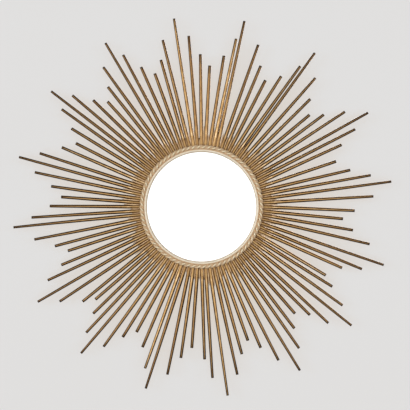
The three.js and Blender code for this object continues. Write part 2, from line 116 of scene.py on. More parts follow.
class NodeSheet:
    """A sheet of nodes, with short calls for the ones that are used again and again."""

    def __init__(self, tree: bpy.types.NodeTree) -> None:
        """Empty the sheet."""
        self.tree = tree
        self.tree.nodes.clear()

    def add(self, kind: str, **settings: object) -> bpy.types.Node:
        """Add a node.

        Args:
            kind: Blender's name of the node type.
            settings: Properties to set on it.

        Returns:
            The new node.
        """
        node = self.tree.nodes.new(kind)
        for name, value in settings.items():
            setattr(node, name, value)
        return node

    def wire(self, source: Socket, target: Socket) -> None:
        """Join two sockets."""
        self.tree.links.new(source, target)

    def remap(self, source: Socket, start: Point, end: Point, smooth: bool = False) -> Socket:
        """Map one range of numbers on another, and hold it at its ends.

        Args:
            source: Socket with the numbers.
            start: Lowest and highest number that come in.
            end: What they become.
            smooth: True for a soft start and end.

        Returns:
            Socket with the mapped numbers.
        """
        node = self.add("ShaderNodeMapRange", interpolation_type="SMOOTHSTEP" if smooth else "LINEAR")
        for name, number in zip(RANGE_INPUTS, (*start, *end)):
            node.inputs[name].default_value = number
        self.wire(source, node.inputs["Value"])
        return node.outputs["Result"]

    def combine(self, operation: str, first: Socket, second: Socket | float, clamp: bool = False) -> Socket:
        """Combine two numbers.

        Args:
            operation: Blender's name of the operation, such as MULTIPLY.
            first: First number.
            second: Second number, wired or plain.
            clamp: True to hold the result between 0 and 1.

        Returns:
            Socket with the result.
        """
        node = self.add("ShaderNodeMath", operation=operation, use_clamp=clamp)
        self.wire(first, node.inputs[0])
        if isinstance(second, (int, float)):
            node.inputs[1].default_value = second
        else:
            self.wire(second, node.inputs[1])
        return node.outputs["Value"]

    def weigh(self, *shares: tuple[Socket, float]) -> Socket:
        """Add numbers up, each with its own weight.

        Args:
            shares: Sockets with their weights.

        Returns:
            Socket with the sum.
        """
        total = self.combine("MULTIPLY", *shares[0])
        for source, weight in shares[1:]:
            total = self.combine("ADD", total, self.combine("MULTIPLY", source, weight))
        return total

    def ramp(self, source: Socket, places: Sequence[float], *colours: Colour) -> Socket:
        """Turn a number into a colour.

        Args:
            source: Socket with the number.
            places: Where each colour is reached, from 0 to 1.
            colours: The colours.

        Returns:
            Socket with the colour.
        """
        node = self.add("ShaderNodeValToRGB")
        elements = node.color_ramp.elements
        while len(elements) < len(colours):
            elements.new(1.0)
        for element, place, colour in zip(elements, places, colours):
            element.position = place
            element.color = (*colour, 1.0)
        self.wire(source, node.inputs["Fac"])
        return node.outputs["Color"]

    def tint(self, base: Socket, colour: Colour, share: Socket) -> Socket:
        """Lay a colour over another.

        Args:
            base: Socket with the colour below.
            colour: The colour laid on it.
            share: Socket with how much of it shows, from 0 to 1.

        Returns:
            Socket with the mixed colour.
        """
        node = self.add("ShaderNodeMix", data_type="RGBA", blend_type="MIX")
        self.wire(share, node.inputs["Factor"])
        self.wire(base, node.inputs["A"])
        node.inputs["B"].default_value = (*colour, 1.0)
        return node.outputs["Result"]


class MaterialSheet(NodeSheet):
    """The sheet of one material, with its shader."""

    def __init__(self, name: str) -> None:
        """Start a material.

        Args:
            name: Its name.
        """
        self.material = bpy.data.materials.new(name)
        self.material.use_nodes = True
        super().__init__(self.material.node_tree)
        self.output = self.add("ShaderNodeOutputMaterial")
        self.shader = self.add("ShaderNodeBsdfPrincipled")
        self.wire(self.shader.outputs["BSDF"], self.output.inputs["Surface"])
        self.place = self.add("ShaderNodeTexCoord").outputs["Object"]

    def feed(self, name: str, source: Socket) -> None:
        """Wire a pattern into the shader."""
        self.wire(source, self.shader.inputs[name])

    def value(self, name: str, number: float | Colour) -> None:
        """Set a number or a colour on the shader itself."""
        wide = (*number, 1.0) if isinstance(number, tuple) else number
        self.shader.inputs[name].default_value = wide

    def noise(self, cloud: Cloud, where: Socket | None = None) -> Socket:
        """Add a cloud pattern.

        Args:
            cloud: Its scale and detail.
            where: Coordinates that it follows, or the object's own.

        Returns:
            Socket with the pattern, from 0 to 1.
        """
        mapping = self.add("ShaderNodeMapping")
        mapping.inputs["Scale"].default_value = cloud.stretch
        self.wire(where or self.place, mapping.inputs["Vector"])
        noise = self.add("ShaderNodeTexNoise")
        noise.inputs["Scale"].default_value = cloud.scale
        noise.inputs["Detail"].default_value = cloud.detail
        noise.inputs["Roughness"].default_value = cloud.roughness
        self.wire(mapping.outputs["Vector"], noise.inputs["Vector"])
        return noise.outputs["Fac"]

    def attribute(self, name: str, output: str = "Fac") -> Socket:
        """Read an attribute of the mesh."""
        node = self.add("ShaderNodeAttribute", attribute_name=name, attribute_type="GEOMETRY")
        return node.outputs[output]

    def from_axis(self) -> Socket:
        """Measure how far a point is from the mirror's axis.

        Returns:
            Socket with the distance in metres.
        """
        flat = self.add("ShaderNodeMapping")
        flat.inputs["Scale"].default_value = (1.0, 0.0, 1.0)
        self.wire(self.place, flat.inputs["Vector"])
        distance = self.add("ShaderNodeVectorMath", operation="LENGTH")
        self.wire(flat.outputs["Vector"], distance.inputs[0])
        return distance.outputs["Value"]

    def bump(self, height: Socket, relief: Relief) -> None:
        """Raise the surface.

        Args:
            height: Socket with the height, from 0 to 1.
            relief: How much of it shows and how high it is.
        """
        node = self.add("ShaderNodeBump")
        node.inputs["Strength"].default_value = relief.share
        node.inputs["Distance"].default_value = relief.height
        self.wire(height, node.inputs["Height"])
        self.feed("Normal", node.outputs["Normal"])


# ---- Finishes ------------------------------------------------------------------------------------


@dataclass(frozen=True)
class Finish:
    """A finish, which is mixed once and laid on any number of pieces."""

    name: str

    def lay(self, sheet: MaterialSheet) -> None:
        """Wire the colour, the shine and the relief."""
        raise NotImplementedError

    def material(self) -> bpy.types.Material:
        """Mix the finish.

        Returns:
            The finished material.
        """
        sheet = MaterialSheet(self.name)
        self.lay(sheet)
        return sheet.material


@dataclass(frozen=True)
class RayGiltFinish(Finish):
    """Aged gilding on a drawn rod: painted highlight front and back, painted shade at sides and outwards,
    dark tip.
    """

    name: str = "ray_gilt"
    patina: Cloud = Cloud(95.0, 5.0, 0.6)
    streaks: Cloud = Cloud(1.0, 3.0, 0.6, (900.0, 900.0, 28.0))
    patina_weight: float = 0.55
    streak_weight: float = 0.35
    tone_weight: float = 0.22
    ring_light_weight: float = 0.12
    highlight_weights: Point = (0.15, 0.46)
    places: tuple[float, ...] = (0.28, 0.52, 0.80, 1.0)
    deep: Colour = (0.128, 0.058, 0.022)
    warm: Colour = (0.275, 0.150, 0.058)
    pale: Colour = (0.47, 0.290, 0.120)
    bright: Colour = (0.86, 0.62, 0.38)
    ring_light_range: Point = (0.116, 0.150)
    highlight_range: Point = (0.90, 1.0)
    outer: Colour = (0.088, 0.046, 0.023)
    outer_shade_range: Point = (0.115, 0.34)
    outer_shade_share: float = 0.8
    glint_share: float = 0.45
    side: Colour = (0.045, 0.019, 0.007)
    side_shade_range: Point = (0.50, 0.95)
    side_shade_share: float = 0.92
    side_shade_at_ring: float = 0.05
    tip: Colour = (0.030, 0.020, 0.014)
    tip_range: Point = (0.002, 0.0055)
    tip_share: float = 0.95
    tip_ragged: float = 0.004
    tip_rough: float = 0.22
    edge: Colour = (0.80, 0.48, 0.24)
    metallic: Point = (1.0, 0.6)
    shade_range: Point = (0.2, 0.9)
    rough: Point = (0.17, 0.09)
    relief: Relief = Relief(0.2, 0.00008)

    def lay(self, sheet: MaterialSheet) -> None:
        """Wire the gilding, layer by layer.

        Args:
            sheet: The sheet that it is wired on.
        """
        patina = sheet.noise(self.patina)
        streaks = sheet.noise(self.streaks, sheet.attribute("drawn", "Vector"))
        distance = sheet.from_axis()
        # Painted light near the ring, where the rods stand in shade: lighter, less painted shade at their
        # sides, less metallic.
        near = sheet.remap(distance, self.ring_light_range, (1.0, 0.0), True)
        front = sheet.attribute("front")
        # Painted highlight: a pale line where the rod faces front or back, stronger near the ring.
        highlight_line = sheet.remap(front, self.highlight_range, (0.0, 1.0), True)
        highlight_line = sheet.combine("MULTIPLY", highlight_line, sheet.remap(near, (0.0, 1.0), self.highlight_weights))
        shade = sheet.weigh(
            (near, self.ring_light_weight),
            (highlight_line, 1.0),
            (patina, self.patina_weight),
            (streaks, self.streak_weight),
            (sheet.attribute("tone"), self.tone_weight),
        )
        gilt = sheet.ramp(shade, self.places, self.deep, self.warm, self.pale, self.bright)
        # Painted highlight: the glinting rods lose much of the painted shade further out and at their sides.
        kept = sheet.remap(sheet.attribute("glint"), (0.0, 1.0), (1.0, self.glint_share))
        # Painted shade: darker further out, where less light bounces between the rods.
        outwards = sheet.remap(distance, self.outer_shade_range, (0.0, self.outer_shade_share))
        gilt = sheet.tint(gilt, self.outer, sheet.combine("MULTIPLY", outwards, kept))
        # Painted shade: the rod's sides darken by how far they turn from the front, less so near the ring.
        flank_shade = sheet.remap(front, self.side_shade_range, (self.side_shade_share, 0.0), True)
        away = sheet.remap(near, (0.0, 1.0), (1.0, self.side_shade_at_ring))
        flank_shade = sheet.combine("MULTIPLY", sheet.combine("MULTIPLY", flank_shade, away), kept)
        gilt = sheet.tint(gilt, self.side, flank_shade)
        ragged = sheet.weigh((sheet.attribute("from_tip"), 1.0), (patina, self.tip_ragged))
        dark = sheet.remap(ragged, self.tip_range, (self.tip_share, 0.0), True)
        sheet.feed("Base Color", sheet.tint(gilt, self.tip, dark))
        sheet.value("Specular Tint", self.edge)
        sheet.feed("Metallic", sheet.remap(near, (0.0, 1.0), self.metallic))
        rough = sheet.remap(shade, self.shade_range, self.rough)
        sheet.feed("Roughness", sheet.weigh((rough, 1.0), (dark, self.tip_rough)))
        sheet.bump(sheet.weigh((streaks, 1.0), (patina, 1.0)), self.relief)


@dataclass(frozen=True)
class LeafGiltFinish(Finish):
    """Pale gilding, with a painted highlight on its crests and brown in its hollows."""

    hollow: Colour
    warm: Colour
    crest: Colour
    rough: Point
    metallic: float
    relief: Relief = Relief(0.3, 0.00008)
    clouds: Cloud = Cloud(140.0, 5.0, 0.6)
    cloud_weight: float = 0.4
    cloud_middle: float = 0.2
    grain: Cloud = Cloud(1600.0, 2.0, 0.5)
    places: tuple[float, ...] = (0.06, 0.42, 0.86)

    def lay(self, sheet: MaterialSheet) -> None:
        """Wire the gilding.

        Args:
            sheet: The sheet that it is wired on.
        """
        clouds = sheet.noise(self.clouds)
        shade = sheet.weigh((sheet.attribute("crest"), 1.0), (clouds, self.cloud_weight))
        shade = sheet.combine("SUBTRACT", shade, self.cloud_middle, clamp=True)
        # Painted highlight: where the crest mark is high the colour turns pale.
        sheet.feed("Base Color", sheet.ramp(shade, self.places, self.hollow, self.warm, self.crest))
        sheet.value("Metallic", self.metallic)
        sheet.feed("Roughness", sheet.remap(clouds, MIDDLE_OF_CLOUDS, self.rough))
        sheet.bump(sheet.weigh((clouds, 1.0), (sheet.noise(self.grain), 1.0)), self.relief)


@dataclass(frozen=True)
class PlainBrassFinish(Finish):
    """Unpolished brass with heat marks and fine scratches."""

    dark: Colour
    light: Colour
    rough: Point
    metallic: float = 0.3
    heat: Cloud = Cloud(38.0, 6.0, 0.62)
    heat_weight: float = 0.8
    scratches: Cloud = Cloud(60.0, 3.0, 0.5, (30.0, 3.0, 1.0))
    scratch_weight: float = 0.2
    places: Point = (0.34, 0.66)
    relief: Relief = Relief(0.25, 0.00006)

    def lay(self, sheet: MaterialSheet) -> None:
        """Wire the brass.

        Args:
            sheet: The sheet that it is wired on.
        """
        heat = sheet.noise(self.heat)
        scratches = sheet.noise(self.scratches)
        shade = sheet.weigh((heat, self.heat_weight), (scratches, self.scratch_weight))
        sheet.feed("Base Color", sheet.ramp(shade, self.places, self.dark, self.light))
        sheet.value("Metallic", self.metallic)
        sheet.feed("Roughness", sheet.remap(heat, MIDDLE_OF_CLOUDS, self.rough))
        sheet.bump(scratches, self.relief)


@dataclass(frozen=True)
class SilveredGlassFinish(Finish):
    """Silvered mirror glass: a clear coat over bright silver, slightly greyed at its edge."""

    name: str = "silvered_glass"
    silver: Colour = (0.95, 0.96, 0.96)
    aged: Colour = (0.86, 0.85, 0.82)
    edge_range: Point = (0.097, 0.103)
    foxing: Cloud = Cloud(120.0, 6.0, 0.65)
    foxed: Point = (0.45, 0.7)
    hazed: Point = (0.3, 0.8)
    rough: Point = (0.015, 0.035)
    coat: float = 0.5
    coat_rough: float = 0.02

    def lay(self, sheet: MaterialSheet) -> None:
        """Wire the silver and its coat.

        Args:
            sheet: The sheet that it is wired on.
        """
        foxing = sheet.noise(self.foxing)
        rim = sheet.remap(sheet.from_axis(), self.edge_range, (0.0, 1.0), True)
        share = sheet.combine("MULTIPLY", rim, sheet.remap(foxing, self.foxed, (0.0, 1.0)))
        sheet.feed("Base Color", sheet.ramp(share, (0.0, 1.0), self.silver, self.aged))
        sheet.value("Metallic", 1.0)
        sheet.feed("Roughness", sheet.remap(foxing, self.hazed, self.rough))
        sheet.value("Coat Weight", self.coat)
        sheet.value("Coat Roughness", self.coat_rough)


@dataclass(frozen=True)
class BoardFinish(Finish):
    """Hardboard, smooth side out: pressed brown fibre with darker flecks."""

    name: str = "brown_hardboard"
    dark: Colour = (0.085, 0.047, 0.026)
    light: Colour = (0.21, 0.125, 0.07)
    cloud: Cloud = Cloud(18.0, 4.0, 0.5)
    cloud_weight: float = 0.45
    fibre: Cloud = Cloud(420.0, 4.0, 0.7, (1.0, 1.0, 3.5))
    fibre_weight: float = 0.55
    fleck: Cloud = Cloud(900.0, 2.0, 0.6)
    fleck_range: Point = (0.62, 0.72)
    fleck_share: float = 0.6
    places: Point = (0.36, 0.62)
    rough: Point = (0.72, 0.5)
    relief: Relief = Relief(0.4, 0.00015)

    def lay(self, sheet: MaterialSheet) -> None:
        """Wire the fibre and its flecks.

        Args:
            sheet: The sheet that it is wired on.
        """
        fibre = sheet.noise(self.fibre)
        shade = sheet.weigh((sheet.noise(self.cloud), self.cloud_weight), (fibre, self.fibre_weight))
        flecks = sheet.remap(sheet.noise(self.fleck), self.fleck_range, (0.0, self.fleck_share))
        colour = sheet.ramp(shade, self.places, self.dark, self.light)
        sheet.feed("Base Color", sheet.tint(colour, self.dark, flecks))
        sheet.feed("Roughness", sheet.remap(fibre, MIDDLE_OF_CLOUDS, self.rough))
        sheet.bump(fibre, self.relief)


@dataclass(frozen=True)
class FibreFinish(Finish):
    """Felt or card: a soft, matt mat of fibres."""

    dark: Colour
    light: Colour
    fibre: Cloud
    clouds: Cloud
    sheen: float = 0.0
    places: Point = (0.38, 0.62)
    rough: Point = (0.98, 0.86)
    relief: Relief = Relief(0.6, 0.0003)

    def lay(self, sheet: MaterialSheet) -> None:
        """Wire the mat of fibres.

        Args:
            sheet: The sheet that it is wired on.
        """
        fibre = sheet.noise(self.fibre)
        shade = sheet.weigh((fibre, 0.5), (sheet.noise(self.clouds), 0.5))
        sheet.feed("Base Color", sheet.ramp(shade, self.places, self.dark, self.light))
        sheet.feed("Roughness", sheet.remap(fibre, MIDDLE_OF_CLOUDS, self.rough))
        sheet.value("Sheen Weight", self.sheen)
        sheet.bump(fibre, self.relief)


@dataclass(frozen=True)
class SteelFinish(Finish):
    """Zinc-plated steel with turning marks."""

    name: str = "zinc_steel"
    dark: Colour = (0.36, 0.36, 0.35)
    light: Colour = (0.62, 0.62, 0.60)
    cloud: Cloud = Cloud(220.0, 4.0, 0.6)
    grit: Cloud = Cloud(2600.0, 2.0, 0.5)
    rough: Point = (0.42, 0.26)
    relief: Relief = Relief(0.2, 0.00003)

    def lay(self, sheet: MaterialSheet) -> None:
        """Wire the plating.

        Args:
            sheet: The sheet that it is wired on.
        """
        cloud = sheet.noise(self.cloud)
        sheet.feed("Base Color", sheet.ramp(cloud, MIDDLE_OF_CLOUDS, self.dark, self.light))
        sheet.value("Metallic", 1.0)
        sheet.feed("Roughness", sheet.remap(cloud, MIDDLE_OF_CLOUDS, self.rough))
        sheet.bump(sheet.noise(self.grit), self.relief)


@dataclass(frozen=True)
class PlasterFinish(Finish):
    """Painted plaster of the wall and the floor, which are not part of the object."""

    paint: Colour
    glow: Colour
    one_sided: bool = False
    cloud: Cloud = Cloud(3.0, 3.0, 0.5)
    darker_share: float = 0.97
    rough: float = 0.9

    def lay(self, sheet: MaterialSheet) -> None:
        """Wire the paint, which can be seen from its front only if it is one-sided.

        Args:
            sheet: The sheet that it is wired on.
        """
        darker = tuple(channel * self.darker_share for channel in self.paint)
        sheet.feed("Base Color", sheet.ramp(sheet.noise(self.cloud), MIDDLE_OF_CLOUDS, darker, self.paint))
        sheet.value("Roughness", self.rough)
        sheet.value("Specular IOR Level", 0.0)
        sheet.value("Emission Color", self.glow)
        sheet.value("Emission Strength", 1.0)
        if self.one_sided:
            clear = sheet.add("ShaderNodeBsdfTransparent")
            choice = sheet.add("ShaderNodeMixShader")
            side = sheet.add("ShaderNodeNewGeometry")
            sheet.wire(side.outputs["Backfacing"], choice.inputs["Fac"])
            sheet.wire(sheet.shader.outputs["BSDF"], choice.inputs[1])
            sheet.wire(clear.outputs["BSDF"], choice.inputs[2])
            sheet.wire(choice.outputs["Shader"], sheet.output.inputs["Surface"])


class Palette:
    """One material for each finish on the mirror."""

    def __init__(self) -> None:
        """Mix every finish once."""
        self.ray = RayGiltFinish().material()
        # The crest colours of the rope and the bezel are their painted highlights.
        self.rope = LeafGiltFinish(
            name="rope_gilt",
            hollow=(0.76, 0.55, 0.34),
            warm=(0.80, 0.58, 0.36),
            crest=(1.0, 0.86, 0.60),
            rough=(0.48, 0.34),
            metallic=0.1,
        ).material()
        self.bezel = LeafGiltFinish(
            name="bezel_gilt",
            hollow=(0.92, 0.71, 0.47),
            warm=(1.0, 0.83, 0.60),
            crest=(1.0, 0.88, 0.69),
            rough=(0.42, 0.28),
            metallic=0.08,
        ).material()
        self.brass = PlainBrassFinish(
            name="plain_brass",
            dark=(0.62, 0.43, 0.25),
            light=(0.80, 0.59, 0.36),
            rough=(0.58, 0.36),
        ).material()
        self.hanger = PlainBrassFinish(
            name="hanger_brass",
            dark=(0.44, 0.31, 0.17),
            light=(0.70, 0.53, 0.31),
            rough=(0.50, 0.28),
        ).material()
        self.glass = SilveredGlassFinish().material()
        self.board = BoardFinish().material()
        self.felt = FibreFinish(
            name="grey_felt",
            dark=(0.10, 0.095, 0.085),
            light=(0.21, 0.20, 0.18),
            fibre=Cloud(900.0, 5.0, 0.75),
            clouds=Cloud(75.0, 3.0, 0.5),
            sheen=0.4,
        ).material()
        self.card = FibreFinish(
            name="grey_card",
            dark=(0.24, 0.20, 0.15),
            light=(0.34, 0.29, 0.22),
            fibre=Cloud(1500.0, 5.0, 0.75),
            clouds=Cloud(125.0, 3.0, 0.5),
        ).material()
        self.steel = SteelFinish().material()


# ---- Bench: modelling with Blender's own tools ---------------------------------------------------


class Bench:
    """Modelling steps that the sub-assemblies share."""

    WELD = 1e-6

    @staticmethod
    def clear() -> None:
        """Leave edit mode and select nothing."""
        if bpy.context.object is not None and bpy.context.object.mode != "OBJECT":
            bpy.ops.object.mode_set(mode="OBJECT")
        bpy.ops.object.select_all(action="DESELECT")

    @classmethod
    def choose(cls, *pieces: bpy.types.Object) -> None:
        """Select some pieces.

        Args:
            pieces: The pieces, of which the first becomes the active one.
        """
        cls.clear()
        for piece in pieces:
            piece.select_set(True)
        bpy.context.view_layer.objects.active = pieces[0]

    @classmethod
    @contextmanager
    def editing(cls, piece: bpy.types.Object, mode: str = "VERT") -> Iterator[None]:
        """Edit a piece, with all of it selected.

        Args:
            piece: The piece to edit.
            mode: VERT, EDGE or FACE.

        Yields:
            Nothing; the piece is in edit mode meanwhile.
        """
        cls.choose(piece)
        bpy.ops.object.mode_set(mode="EDIT")
        bpy.ops.mesh.select_mode(type=mode)
        bpy.ops.mesh.select_all(action="SELECT")
        yield
        bpy.ops.object.mode_set(mode="OBJECT")

    @staticmethod
    def pick(piece: bpy.types.Object, rule: Callable[[Vector], bool], kind: str = "FACE") -> None:
        """Select, in edit mode, the parts whose middle meets a rule.

        Args:
            piece: The piece in edit mode.
            rule: Test of a middle, in the piece's own coordinates.
            kind: EDGE or FACE.
        """
        bpy.ops.mesh.select_mode(type=kind)
        bpy.ops.mesh.select_all(action="DESELECT")
        shape = bmesh.from_edit_mesh(piece.data)
        if kind == "FACE":
            for face in shape.faces:
                face.select_set(rule(face.calc_center_median()))
        else:
            for edge in shape.edges:
                edge.select_set(all(rule(corner.co) for corner in edge.verts))
        shape.select_flush_mode()
        bmesh.update_edit_mesh(piece.data)

    @classmethod
    def settle(cls, piece: bpy.types.Object) -> None:
        """Weld doubles and turn every face outwards.

        Args:
            piece: The piece.
        """
        with cls.editing(piece):
            bpy.ops.mesh.remove_doubles(threshold=cls.WELD)
            bpy.ops.mesh.normals_make_consistent(inside=False)

    @classmethod
    def modify(cls, piece: bpy.types.Object, kind: str, **settings: object) -> None:
        """Add a modifier and apply it.

        Args:
            piece: The piece to modify.
            kind: Blender's name of the modifier type.
            settings: Properties to set on it.
        """
        cls.choose(piece)
        modifier = piece.modifiers.new(kind.lower(), kind)
        for name, value in settings.items():
            setattr(modifier, name, value)
        bpy.ops.object.modifier_apply(modifier=modifier.name)

    @classmethod
    def seat(cls, piece: bpy.types.Object) -> None:
        """Bring the piece's place, turn and size into its mesh."""
        cls.choose(piece)
        bpy.ops.object.transform_apply(location=True, rotation=True, scale=True)

    @classmethod
    def smooth(cls, piece: bpy.types.Object, degrees: float = 35.0) -> None:
        """Shade smooth, apart from edges sharper than an angle."""
        cls.choose(piece)
        bpy.ops.object.shade_smooth_by_angle(angle=math.radians(degrees))

    @classmethod
    def join(cls, name: str, *pieces: bpy.types.Object) -> bpy.types.Object:
        """Join pieces into one mesh.

        Args:
            name: Name of the joined piece.
            pieces: The pieces; the first one is kept.

        Returns:
            The joined piece.
        """
        cls.choose(*pieces)
        if len(pieces) > 1:
            bpy.ops.object.join()
        pieces[0].name = name
        return pieces[0]

    @classmethod
    def copy(cls, piece: bpy.types.Object, name: str) -> bpy.types.Object:
        """Copy a piece with a mesh of its own.

        Args:
            piece: The piece to copy.
            name: Name of the copy.

        Returns:
            The copy.
        """
        cls.choose(piece)
        bpy.ops.object.duplicate(linked=False)
        double = bpy.context.object
        double.name = name
        double.data.name = name
        return double

    @classmethod
    def discard(cls, *pieces: bpy.types.Object) -> None:
        """Take pieces off the bench."""
        cls.choose(*pieces)
        bpy.ops.object.delete()

    @classmethod
    def cut(cls, piece: bpy.types.Object, tool: bpy.types.Object) -> None:
        """Cut one piece with another, which is used up."""
        cls.modify(piece, "BOOLEAN", operation="DIFFERENCE", solver="EXACT", object=tool)
        cls.discard(tool)

    @classmethod
    def block(cls, size: Size, place: Place) -> bpy.types.Object:
        """Add a square block.

        Args:
            size: Its size along X, Y and Z.
            place: Its middle.

        Returns:
            The block.
        """
        cls.clear()
        bpy.ops.mesh.primitive_cube_add(size=1.0, location=place)
        piece = bpy.context.object
        piece.scale = size
        cls.seat(piece)
        return piece

    @classmethod
    def turned(cls, name: str, profile: Sequence[Point], steps: int) -> bpy.types.Object:
        """Turn a profile about the mirror's axis.

        Args:
            name: Name of the piece.
            profile: Points as distance from the axis and depth from the wall, closed or from axis to axis.
            steps: Steps in the full turn.

        Returns:
            The turned piece.
        """
        cls.clear()
        radius, depth = profile[0]
        bpy.ops.mesh.primitive_plane_add(size=MILLIMETRE, location=(radius, -depth, 0.0))
        piece = bpy.context.object
        piece.name = name
        cls.seat(piece)
        with cls.editing(piece):
            bpy.ops.mesh.merge(type="CENTER")
            for (old_radius, old_depth), (radius, depth) in zip(profile, profile[1:]):
                bpy.ops.mesh.extrude_vertices_move(
                    TRANSFORM_OT_translate={"value": (radius - old_radius, old_depth - depth, 0.0)}
                )
            bpy.ops.mesh.select_all(action="SELECT")
            bpy.ops.mesh.remove_doubles(threshold=cls.WELD)
            bpy.ops.mesh.spin(steps=steps, angle=FULL_TURN, center=(0.0, 0.0, 0.0), axis=(0.0, 1.0, 0.0))
        cls.settle(piece)
        return piece

    @classmethod
    def dress(cls, piece: bpy.types.Object, material: bpy.types.Material) -> None:
        """Give a piece one material."""
        piece.data.materials.clear()
        piece.data.materials.append(material)

    @classmethod
    def install(
        cls,
        piece: bpy.types.Object,
        material: bpy.types.Material,
        slot: Slot,
        nodes: Sequence[str] = (),
        body: Body = Body.MIRROR,
    ) -> bpy.types.Object:
        """Finish a piece and hang it on its body.

        Args:
            piece: The finished shape.
            material: Its material.
            slot: The record's slot that it belongs to; not used.
            nodes: CAD nodes that it stands for.
            body: The body that it moves with.

        Returns:
            The piece.
        """
        cls.dress(piece, material)
        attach(piece, body.value)
        if nodes:
            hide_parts(*nodes)
        LOG.info("%s: %d faces on %s", piece.name, len(piece.data.polygons), body.value)
        return piece


def depths(node: str) -> Point:
    """Give the least and greatest depth of a CAD node from the wall."""
    low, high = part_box(node)
    return -high.y, -low.y


def points_of(node: str) -> list[Vector]:
    """Give the points of a CAD node."""
    return [corner.co.copy() for corner in frame["nodes"][node].data.vertices]


def from_axis(point: Vector) -> float:
    """Measure how far a point is from the mirror's axis."""
    return math.hypot(point.x, point.z)


def outer_radius(node: str) -> float:
    """Give the greatest distance of a CAD node's points from the mirror's axis."""
    return max(from_axis(point) for point in points_of(node))


def inner_radius(node: str) -> float:
    """Give the least distance of a CAD node's points from the mirror's axis."""
    return min(from_axis(point) for point in points_of(node))


def arc(middle: Point, radius: float, start: float, end: float, steps: int) -> list[Point]:
    """Give points on an arc.

    Args:
        middle: Its centre.
        radius: Its radius.
        start: First angle in degrees.
        end: Last angle in degrees.
        steps: Number of steps.

    Returns:
        The points, both ends included.
    """
    angles = [math.radians(start + (end - start) * step / steps) for step in range(steps + 1)]
    return [(middle[0] + radius * math.cos(angle), middle[1] + radius * math.sin(angle)) for angle in angles]


def set_attribute(piece: bpy.types.Object, name: str, values: Sequence[float]) -> None:
    """Store one number for each point of a mesh."""
    layer = piece.data.attributes.new(name, "FLOAT", "POINT")
    layer.data.foreach_set("value", list(values))


# ---- Rays ----------------------------------------------------------------------------------------


